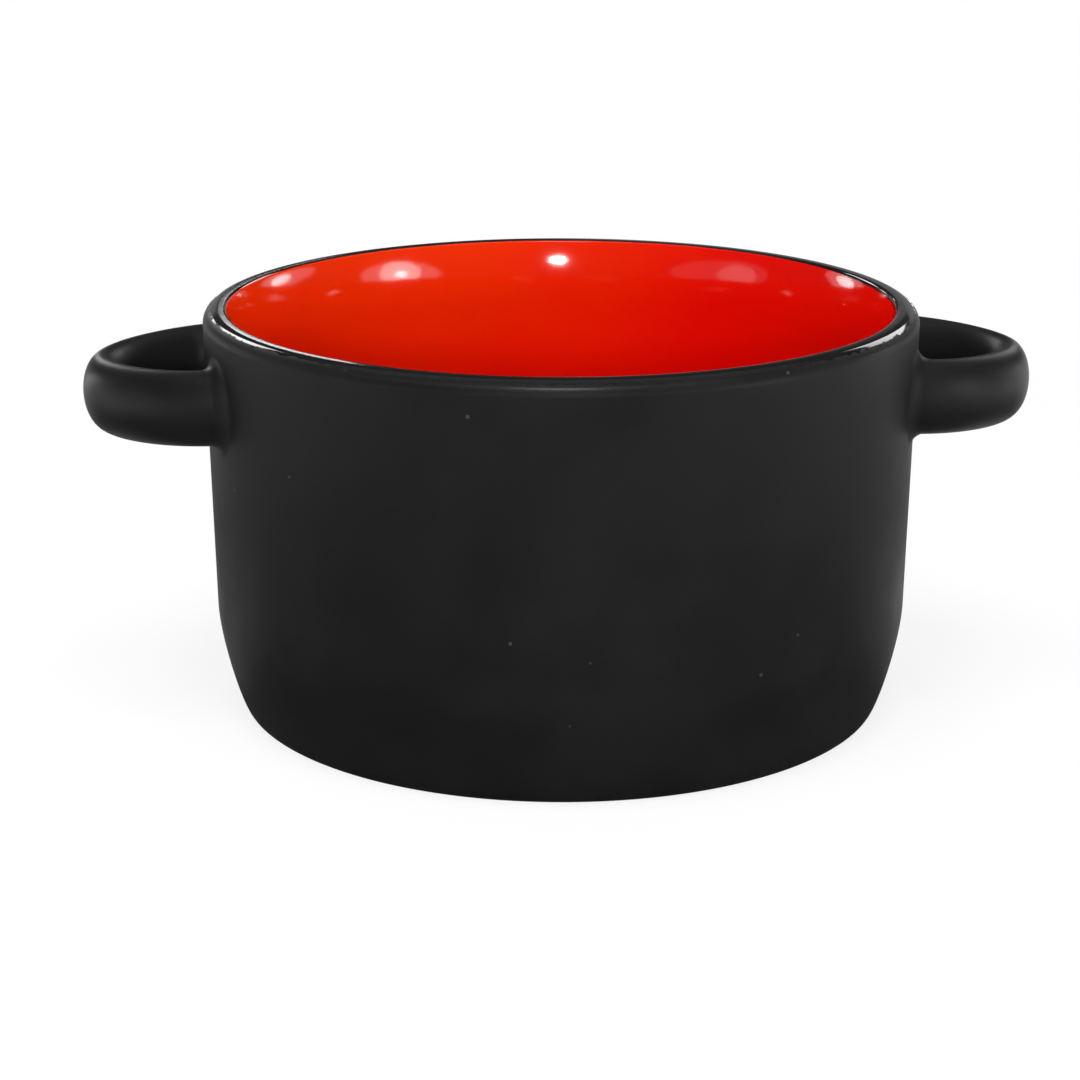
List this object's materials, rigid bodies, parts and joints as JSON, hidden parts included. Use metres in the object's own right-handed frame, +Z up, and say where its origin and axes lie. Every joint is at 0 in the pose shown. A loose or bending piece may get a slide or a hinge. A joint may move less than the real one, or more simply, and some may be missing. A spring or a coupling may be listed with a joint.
{
  "type": "two-handled soup bowl",
  "caption": "Round stoneware soup bowl with steep sides, looped side handles, matte black outside, glossy black lip and glossy red lining.",
  "frame": {"origin": "centre of the foot ring's underside, on the table", "axes": "+Z up the bowl's axis, +X along the two handles towards the right one, +Y away from the viewer"},
  "size_m": [0.1608, 0.12, 0.0685],
  "materials": {
    "stoneware": "fired, unglazed",
    "matte_black_glaze": "satin matte glaze",
    "gloss_black_glaze": "gloss glaze",
    "red_glaze": "gloss glaze"
  },
  "bodies": {
    "root": {"stoneware_body": "stoneware", "outer_glaze": "matte_black_glaze", "rim_glaze": "gloss_black_glaze", "lining_glaze": "red_glaze", "foot_glaze": "matte_black_glaze", "right_handle": "matte_black_glaze", "right_front_slip_joint": "matte_black_glaze", "right_rear_slip_joint": "matte_black_glaze", "left_handle": "matte_black_glaze", "left_rear_slip_joint": "matte_black_glaze", "left_front_slip_joint": "matte_black_glaze"}
  },
  "joints": []
}
